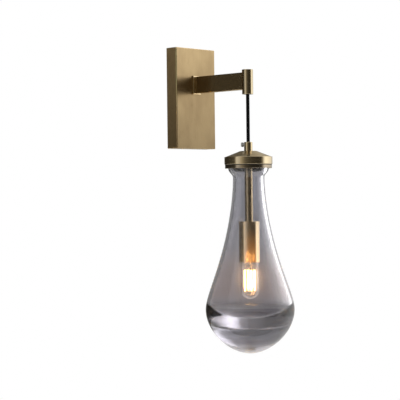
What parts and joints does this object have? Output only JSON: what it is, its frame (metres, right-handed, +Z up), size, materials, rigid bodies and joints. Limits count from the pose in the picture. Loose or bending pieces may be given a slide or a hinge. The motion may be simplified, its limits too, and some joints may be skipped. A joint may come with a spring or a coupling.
{
  "type": "wall lamp",
  "caption": "Wall lamp: a rectangular backplate, a short bar arm and post, and a smoked teardrop glass with a lit tube bulb, hung on a cord.",
  "frame": {"origin": "middle of the back of the backplate, on the wall plane", "axes": "+Y into the wall, -Y out into the room along the arm, +Z up, +X to the right along the wall"},
  "size_m": [0.125, 0.1835, 0.4369],
  "materials": {
    "plate_brass": "vertically brushed satin brass with an aged brown lacquer",
    "arm_brass": "dark antique brass, satin",
    "cap_brass": "antique brass, turned satin",
    "stem_brass": "antique brass tube, satin",
    "brass_screw": "antique brass grub screws",
    "bright_brass": "plain brass",
    "zinc_steel": "zinc-plated steel",
    "white_nylon": "moulded nylon",
    "black_nylon": "moulded black plastic",
    "clear_nylon": "clear moulded nylon",
    "core_brown": "brown insulation",
    "core_blue": "blue insulation",
    "core_green": "green and yellow insulation",
    "black_cord": "black round sheathed cord",
    "black_rubber": "black sealing ring",
    "bond_silicone": "clear-grey silicone bond",
    "smoked_glass": "clear smoked glass with a thick solid base",
    "bulb_glass": "clear glass",
    "nickel_base": "nickel-plated screw base",
    "solder": "tinned contact",
    "base_insulator": "black glass insulator",
    "support_wire": "support wires",
    "lit_filament": "lit filament rods in yellow phosphor silicone"
  },
  "bodies": {
    "wall_mount": {"wall_strap": "zinc_steel", "cover_screws": "brass_screw", "backplate_cover": "plate_brass", "earth_screw": "zinc_steel", "terminal_block": "white_nylon", "terminal_inserts": "bright_brass", "terminal_screws": "zinc_steel", "core_live": "core_brown", "core_neutral": "core_blue", "core_earth": "core_green", "root_plate": "zinc_steel", "arm_screws": "zinc_steel", "arm_washers": "zinc_steel", "arm_flange": "arm_brass", "arm_block": "bright_brass", "arm_tube": "arm_brass", "post_tube": "arm_brass", "post_plug": "arm_brass", "cord_bush": "black_nylon", "cord_stop": "zinc_steel", "arm_cord": "black_cord"},
    "cord_knuckle": {"cord_flex": "black_cord"},
    "cord": {"hanging_cord": "black_cord"},
    "pendant": {"cord_grip": "cap_brass", "stem_cord": "black_cord", "cap_nipple": "zinc_steel", "cap": "cap_brass", "cap_washer": "zinc_steel", "cap_nut": "zinc_steel", "stem_tube": "stem_brass", "stem_nipple": "zinc_steel", "socket_cup": "stem_brass", "cup_nut": "zinc_steel", "lamp_holder": "black_nylon", "holder_shell": "bright_brass", "centre_contact": "bright_brass", "holder_leads": "core_brown"},
    "thumb_screw": {"grip_screw": "clear_nylon"},
    "glass": {"glass_ferrule": "cap_brass", "rim_gasket": "black_rubber", "glass_bond": "bond_silicone", "glass_drop": "smoked_glass"},
    "bulb": {"bulb_contact": "solder", "bulb_insulator": "base_insulator", "bulb_base": "nickel_base", "bulb_envelope": "bulb_glass", "filament_mount": "bulb_glass", "filament_frame": "support_wire", "led_filaments": "lit_filament"}
  },
  "joints": [
    {"name": "swing_fore_aft", "type": "hinge", "parent": "wall_mount", "child": "cord_knuckle", "pos_m": [0, -0.121, 0.0015], "axis": [1, 0, 0], "range_deg": [-30, 11]},
    {"name": "swing_sideways", "type": "hinge", "parent": "cord_knuckle", "child": "cord", "pos_m": [0, -0.121, 0.0015], "axis": [0, 1, 0], "range_deg": [-30, 30]},
    {"name": "pendant_twist", "type": "hinge", "parent": "cord", "child": "pendant", "pos_m": [0, -0.121, -0.0667], "axis": [0, 0, 1], "range_deg": [-180, 180]},
    {"name": "thumb_screw_turn", "type": "hinge", "parent": "pendant", "child": "thumb_screw", "pos_m": [0, -0.121, -0.0703], "axis": [-0.6947, 0.7193, 0], "range_deg": [0, 720]},
    {"name": "glass_unscrew", "type": "hinge", "parent": "pendant", "child": "glass", "pos_m": [0, -0.121, -0.099], "axis": [0, 0, -1], "range_deg": [0, 720]},
    {"name": "bulb_unscrew", "type": "hinge", "parent": "pendant", "child": "bulb", "pos_m": [0, -0.121, -0.2226], "axis": [0, 0, -1], "range_deg": [0, 1260]}
  ]
}
